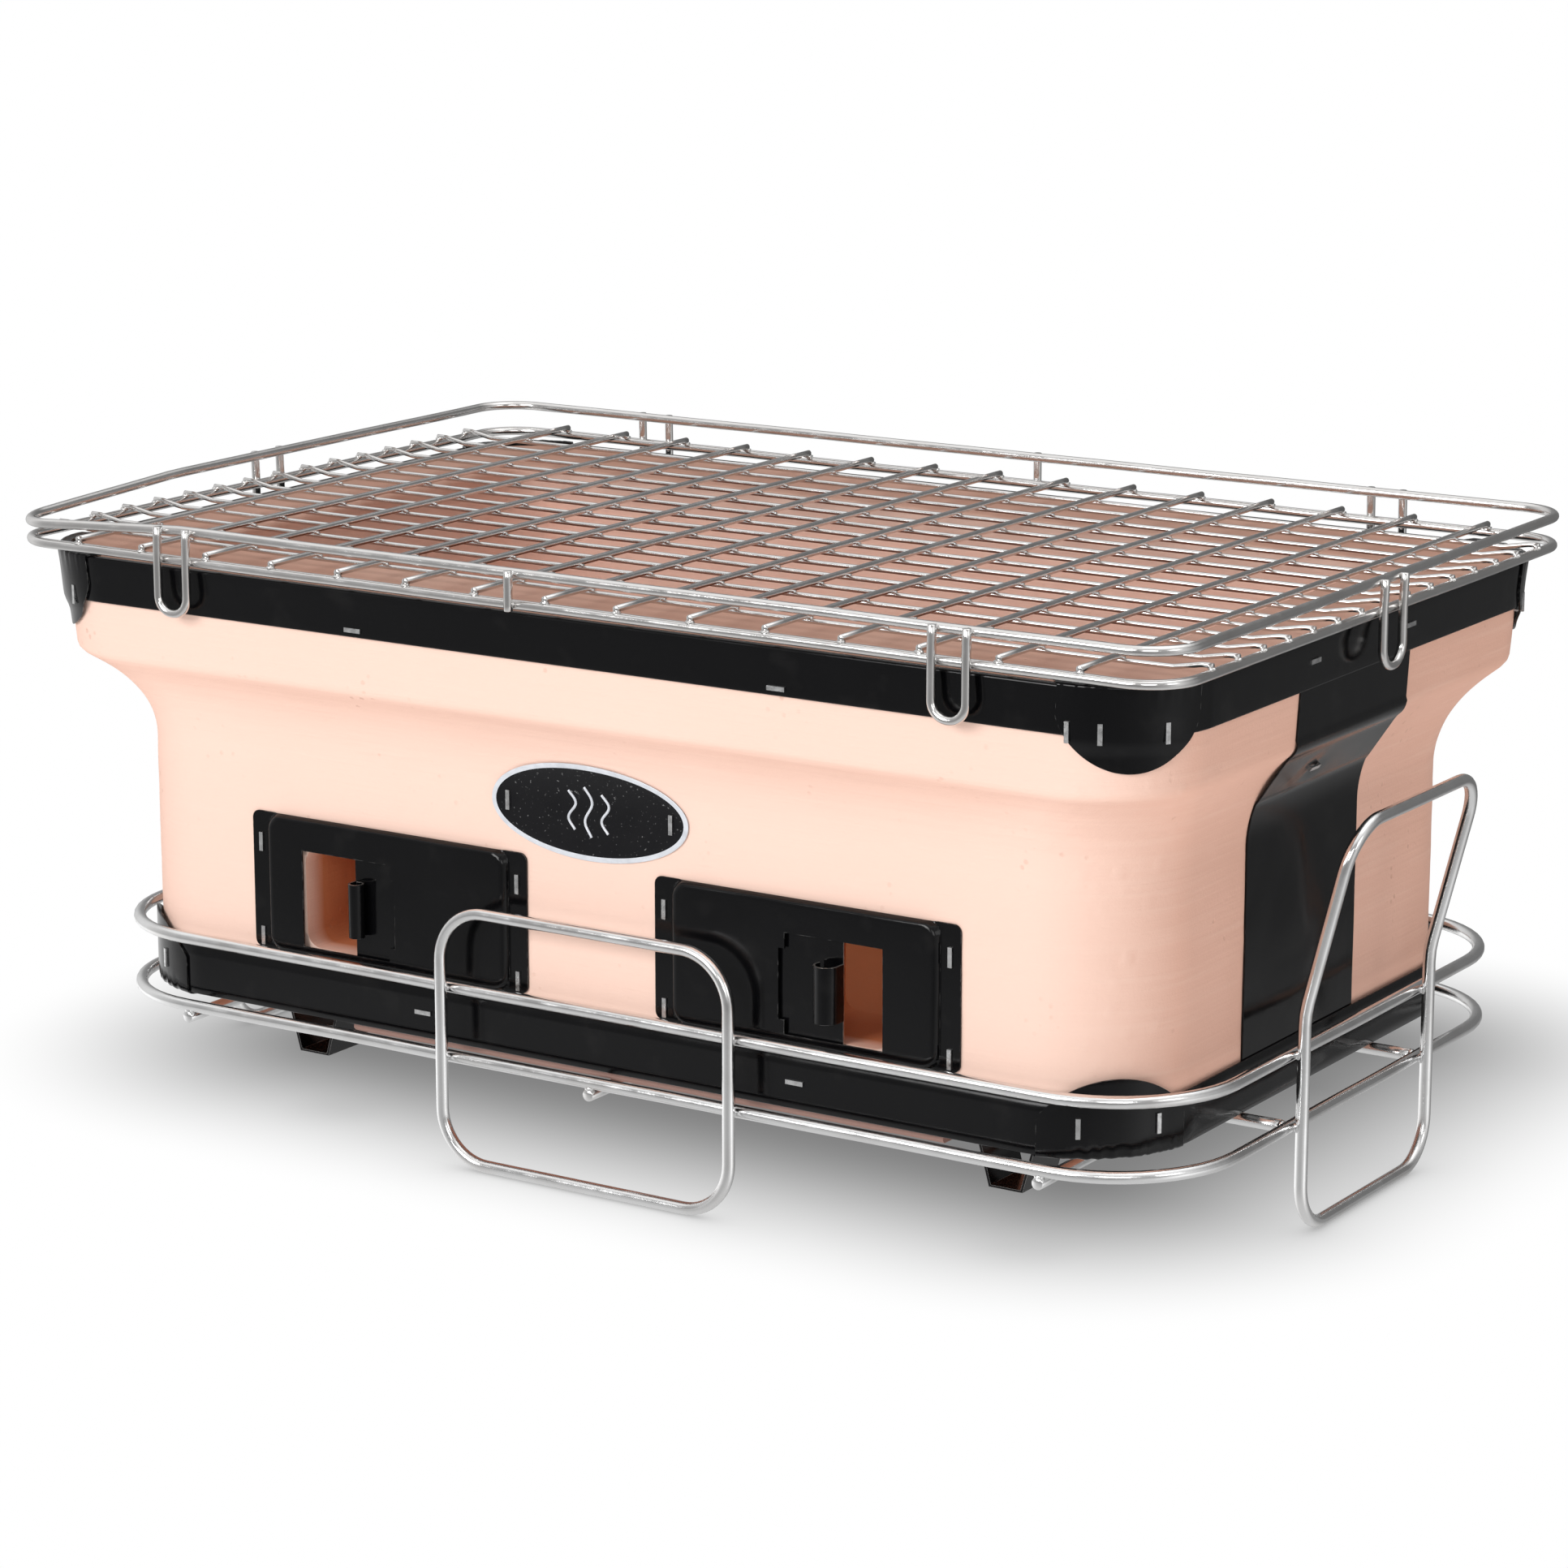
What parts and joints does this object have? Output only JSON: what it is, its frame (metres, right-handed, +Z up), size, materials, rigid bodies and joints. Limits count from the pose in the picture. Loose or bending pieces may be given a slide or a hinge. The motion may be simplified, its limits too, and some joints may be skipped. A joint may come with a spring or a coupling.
{
  "type": "charcoal hibachi grill",
  "caption": "Rectangular clay charcoal hibachi with black steel bands and sliding vents, a lift-off wire cooking grate, and a wire carrier with end handles.",
  "frame": {"origin": "on the floor, under the centre of the wire carrier", "axes": "+Z up, +X to the right along the long side, -Y towards the side with the two air vents"},
  "size_m": [0.5032, 0.3138, 0.2223],
  "materials": {
    "clay": "matt unglazed earthenware with brush marks",
    "black_enamel": "gloss black enamel on sheet steel",
    "badge": "gloss black oval with a bare silver rim",
    "staple_wire": "bright steel staple",
    "chrome_wire": "bright chrome plate",
    "grate_wire": "bright chrome plate",
    "coal_grate_wire": "plain steel wire"
  },
  "bodies": {
    "carrier": {"carrier_lower_loop": "chrome_wire", "carrier_upper_loop": "chrome_wire", "carrier_support_wires": "chrome_wire", "carrier_cross_wires": "chrome_wire", "leg_hoop_front": "chrome_wire", "leg_hoop_back": "chrome_wire", "handle_hoop_left": "chrome_wire", "handle_hoop_right": "chrome_wire"},
    "firebox": {"clay_body": "clay", "rim_band": "black_enamel", "base_band": "black_enamel", "badge_plate": "badge", "end_strap_left": "black_enamel", "end_strap_right": "black_enamel", "vent_plate_left": "black_enamel", "vent_plate_right": "black_enamel", "rim_cap_front_left": "black_enamel", "rim_cap_front_right": "black_enamel", "rim_cap_back_left": "black_enamel", "rim_cap_back_right": "black_enamel", "base_cap_front_left": "black_enamel", "base_cap_front_right": "black_enamel", "base_cap_back_left": "black_enamel", "base_cap_back_right": "black_enamel", "foot_front_left": "black_enamel", "foot_front_right": "black_enamel", "foot_back_left": "black_enamel", "foot_back_right": "black_enamel", "rim_band_staples": "staple_wire", "base_band_staples": "staple_wire", "rim_cap_staples": "staple_wire", "base_cap_staples": "staple_wire", "strap_staples": "staple_wire", "vent_staples": "staple_wire", "badge_staples": "staple_wire", "foot_staples": "staple_wire"},
    "vent_door_left": {"vent_door_left": "black_enamel"},
    "vent_door_right": {"vent_door_right": "black_enamel"},
    "cooking_grate": {"grate_frame_loop": "grate_wire", "grate_rail_loop": "grate_wire", "grate_long_wires": "grate_wire", "grate_cross_wires": "grate_wire", "grate_hangers": "grate_wire", "grate_posts": "grate_wire"},
    "charcoal_grate": {"charcoal_grate_frame": "coal_grate_wire", "charcoal_grate_bars": "coal_grate_wire"}
  },
  "joints": [
    {"name": "firebox_lift", "type": "slide", "parent": "carrier", "child": "firebox", "axis": [0, 0, 1], "range_m": [0, 0.15]},
    {"name": "vent_left_slide", "type": "slide", "parent": "firebox", "child": "vent_door_left", "axis": [1, 0, 0], "range_m": [-0.0225, 0.005]},
    {"name": "vent_right_slide", "type": "slide", "parent": "firebox", "child": "vent_door_right", "axis": [1, 0, 0], "range_m": [-0.01, 0.0155]},
    {"name": "cooking_grate_lift", "type": "slide", "parent": "firebox", "child": "cooking_grate", "axis": [0, 0, 1], "range_m": [0, 0.1]},
    {"name": "charcoal_grate_lift", "type": "slide", "parent": "firebox", "child": "charcoal_grate", "axis": [0, 0, 1], "range_m": [0, 0.085]}
  ]
}
